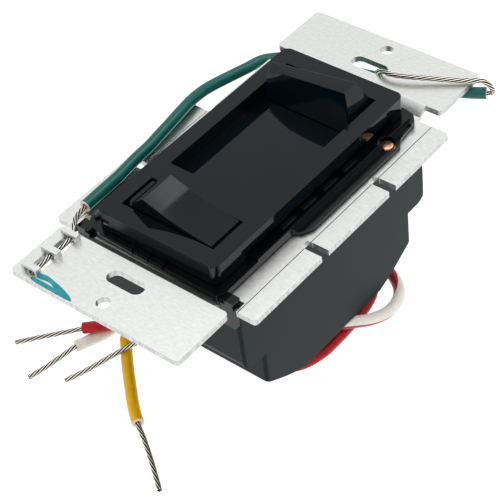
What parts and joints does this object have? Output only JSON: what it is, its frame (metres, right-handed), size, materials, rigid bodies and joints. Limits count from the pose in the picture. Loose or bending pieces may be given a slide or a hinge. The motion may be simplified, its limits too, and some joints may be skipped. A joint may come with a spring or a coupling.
{
  "type": "slide dimmer switch",
  "caption": "Wall-box slide dimmer: aluminium yoke and heat sink, black face with slide knob and rocker, deep back enclosure, stripped leads and a ground wire.",
  "frame": {"origin": "midway between the two box-screw slots, on the front face of the yoke ears", "axes": "+X right of the face, +Y top of the face, +Z out of the wall"},
  "size_m": [0.0714, 0.1079, 0.0546],
  "materials": {
    "aluminium": "brushed satin sheet with bright sheared edges",
    "gloss_black": "polished black",
    "satin_black": "moulded black, satin",
    "casing": "dark slate grey moulded thermoplastic, fine satin",
    "copper": "bare copper",
    "brass": "stamped brass",
    "tinned": "tinned stranded copper",
    "steel": "zinc plated steel",
    "board": "green solder resist",
    "red_insulation": "red vinyl insulation",
    "white_insulation": "white vinyl insulation with a red stripe",
    "black_insulation": "black vinyl insulation",
    "yellow_insulation": "yellow vinyl insulation",
    "green_insulation": "green vinyl insulation",
    "ferrite": "sintered powder core",
    "film": "dipped film capacitor",
    "resin": "moulded resin",
    "ceramic": "lacquered resistor body",
    "pad": "thermal pad"
  },
  "bodies": {
    "housing": {"yoke": "aluminium", "back_enclosure": "casing", "chassis": "satin_black", "bezel": "gloss_black", "potentiometer_housing": "steel", "resistive_track": "resin", "rocker_axle": "steel", "switch_base": "resin", "pivot_terminal": "brass", "fixed_contact_left": "brass", "fixed_contact_right": "brass", "circuit_board": "board", "triac": "resin", "thermal_pad": "pad", "triac_rivet": "copper", "cover_rivet_right": "copper", "cover_rivet_left": "copper", "choke_core": "ferrite", "choke_winding": "copper", "film_capacitor_left": "film", "film_capacitor_right": "film", "resistor_gate": "ceramic", "resistor_timing": "ceramic", "diac": "resin", "lead_red": "red_insulation", "lead_red_strands": "tinned", "lead_striped": "white_insulation", "lead_striped_strands": "tinned", "lead_black": "black_insulation", "lead_black_strands": "tinned", "lead_yellow": "yellow_insulation", "lead_yellow_strands": "tinned", "ground_wire": "green_insulation", "ground_strands_laced": "tinned", "ground_strands_free": "tinned"},
    "slide": {"slide_knob": "gloss_black", "slide_carrier": "satin_black", "wiper": "brass"},
    "rocker": {"rocker": "gloss_black", "contact_plunger": "satin_black", "plunger_spring": "steel"},
    "seesaw": {"contact_seesaw": "copper"}
  },
  "joints": [
    {"name": "slide_travel", "type": "slide", "parent": "housing", "child": "slide", "axis": [0, -1, 0], "range_m": [0, 0.03]},
    {"name": "rocker_tilt", "type": "hinge", "parent": "housing", "child": "rocker", "pos_m": [0, -0.0232, -0.005], "axis": [0, 1, 0], "range_deg": [-24.8, 0]},
    {"name": "seesaw_tilt", "type": "hinge", "parent": "housing", "child": "seesaw", "pos_m": [0, -0.0232, -0.014], "axis": [0, 1, 0], "range_deg": [0, 18.6]}
  ],
  "couplings": [
    {"joint": "seesaw_tilt", "follows": "rocker_tilt", "ratio": -0.75}
  ]
}
